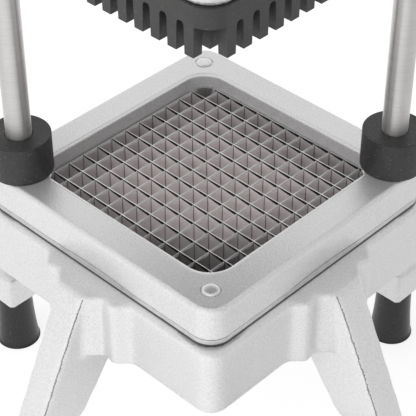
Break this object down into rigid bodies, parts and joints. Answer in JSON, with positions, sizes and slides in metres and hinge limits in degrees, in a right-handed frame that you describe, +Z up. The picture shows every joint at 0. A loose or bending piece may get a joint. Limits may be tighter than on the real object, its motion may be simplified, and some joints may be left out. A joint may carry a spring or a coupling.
{
  "type": "french fry cutter",
  "caption": "Upright french fry cutter: a block with a bent handle slides on guide rods and pushes a potato through a blade grid held by a clamp ring on a cast base with rubber feet.",
  "frame": {"origin": "on the floor under the centre of the blade grid", "axes": "+Z up along the guide rods, +X to the right along the line of the rods, -Y towards the front, where the handle leans"},
  "size_m": [0.2564, 0.215, 0.4613],
  "materials": {
    "cast_aluminium": "bead blasted casting",
    "cast_head": "cast, lightly polished",
    "machined_aluminium": "machined",
    "blade_steel": "ground stainless",
    "rod_steel": "ground and polished",
    "fastener_steel": "bright zinc",
    "dark_steel": "black oxide",
    "bronze": "sintered",
    "rubber": "satin",
    "bumper_rubber": "satin",
    "black_plastic": "satin",
    "handle_steel": "polished"
  },
  "bodies": {
    "base": {"base_casting": "cast_aluminium", "blade_frame": "machined_aluminium", "blades_lower_set": "blade_steel", "blades_upper_set": "blade_steel", "clamp_ring": "cast_aluminium", "guide_rod_left": "rod_steel", "guide_rod_right": "rod_steel", "bumper_left": "bumper_rubber", "bumper_right": "bumper_rubber", "rod_washers": "fastener_steel", "rod_nuts": "fastener_steel", "retaining_studs": "fastener_steel", "foot_front_left": "rubber", "foot_front_right": "rubber", "foot_back_left": "rubber", "foot_back_right": "rubber", "foot_washers": "fastener_steel", "foot_screws": "fastener_steel", "stop_washers": "fastener_steel", "cap_nuts": "fastener_steel"},
    "head": {"push_head": "cast_head", "push_block": "black_plastic", "block_screws": "fastener_steel", "block_washers": "fastener_steel", "bushing_left_lower": "bronze", "bushing_left_upper": "bronze", "bushing_right_lower": "bronze", "bushing_right_upper": "bronze", "handle_bar": "handle_steel", "handle_grip": "rubber", "handle_set_screws": "dark_steel"},
    "front_nut": {"thumb_nut_front": "fastener_steel"},
    "back_nut": {"thumb_nut_back": "fastener_steel"}
  },
  "joints": [
    {"name": "head_slide", "type": "slide", "parent": "base", "child": "head", "axis": [0, 0, 1], "range_m": [-0.122, 0.0328]},
    {"name": "thumb_nut_front_turn", "type": "hinge", "parent": "base", "child": "front_nut", "pos_m": [0, -0.08895, 0.1454], "axis": [0, 0, 1], "continuous": true},
    {"name": "thumb_nut_back_turn", "type": "hinge", "parent": "base", "child": "back_nut", "pos_m": [0, 0.08895, 0.1454], "axis": [0, 0, 1], "continuous": true}
  ]
}
